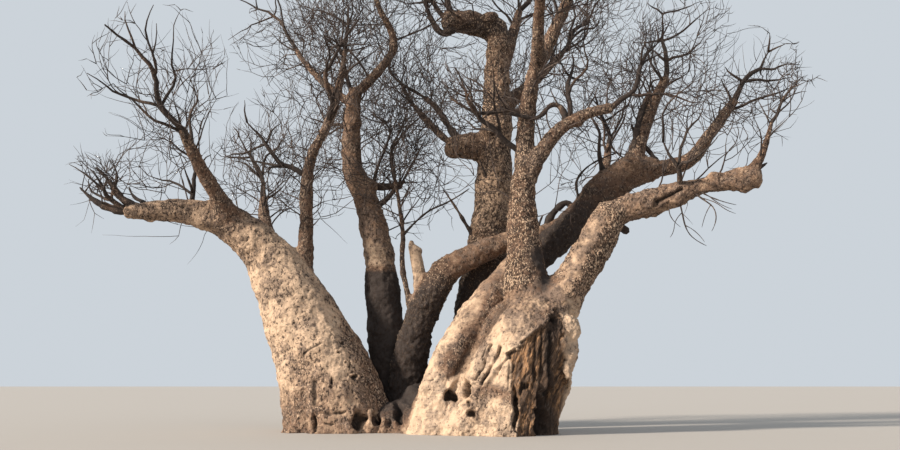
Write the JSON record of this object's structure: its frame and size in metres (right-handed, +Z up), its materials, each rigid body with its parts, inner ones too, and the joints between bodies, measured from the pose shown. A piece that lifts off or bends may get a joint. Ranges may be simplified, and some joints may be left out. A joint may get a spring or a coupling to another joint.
{
  "type": "baobab tree",
  "caption": "Bare baobab: thick stems fused at a flared foot with a flat cut, bent tapering boughs and open masses of leafless twigs.",
  "frame": {"origin": "ground level, in the middle of the fused foot of the stems, on its flat cut", "axes": "+Z up; +X to the right as seen in the picture; +Y away from the viewer"},
  "size_m": [26.379, 18.4971, 21.0112],
  "materials": {
    "stem_bark": "pale pitted bark",
    "bough_bark": "mottled brown bark",
    "twigs": "matt twig bark"
  },
  "bodies": {
    "root": {"arched_bough": "bough_bark", "arched_front_twigs": "twigs", "arched_side_bough": "bough_bark", "arched_side_twigs": "twigs", "arched_stem": "stem_bark", "back_left_bough": "bough_bark", "back_left_fork": "bough_bark", "back_left_rear_bough": "bough_bark", "back_left_rear_twigs": "twigs", "back_left_stem": "stem_bark", "back_left_top_twigs": "twigs", "back_left_twigs": "twigs", "back_stub": "bough_bark", "back_trunk": "stem_bark", "broken_stub": "bough_bark", "leaning_bough": "bough_bark", "leaning_rear_bough": "bough_bark", "leaning_stem": "stem_bark", "left_back_bough": "bough_bark", "left_back_twigs": "twigs", "left_bough": "bough_bark", "left_front_bough": "bough_bark", "left_front_twigs": "twigs", "left_low_twigs": "twigs", "left_outer_twigs": "twigs", "left_shoot": "bough_bark", "left_shoot_twigs": "twigs", "left_trunk": "stem_bark", "left_upper_twigs": "twigs", "middle_bough": "bough_bark", "middle_front_bough": "bough_bark", "middle_front_twigs": "twigs", "middle_left_twigs": "twigs", "middle_right_bough": "bough_bark", "middle_right_twigs": "twigs", "middle_riser_twigs": "twigs", "middle_stem": "bough_bark", "middle_twigs": "twigs", "rear_bough": "bough_bark", "rear_right_bough": "bough_bark", "rear_right_twigs": "twigs", "rear_twigs": "twigs", "right_bough": "bough_bark", "right_front_twigs": "twigs", "right_outer_bough": "bough_bark", "right_outer_twigs": "twigs", "right_rear_twigs": "twigs", "right_stem": "bough_bark", "right_tip_bough": "bough_bark", "right_tip_twigs": "twigs", "right_trunk": "stem_bark", "right_upper_bough": "bough_bark", "right_upper_twigs": "twigs", "stub_bough": "bough_bark", "stub_twigs": "twigs", "top_bough": "bough_bark", "top_left_bough": "bough_bark", "top_left_twigs": "twigs", "top_twigs": "twigs", "trunk_foot": "stem_bark"}
  },
  "joints": []
}
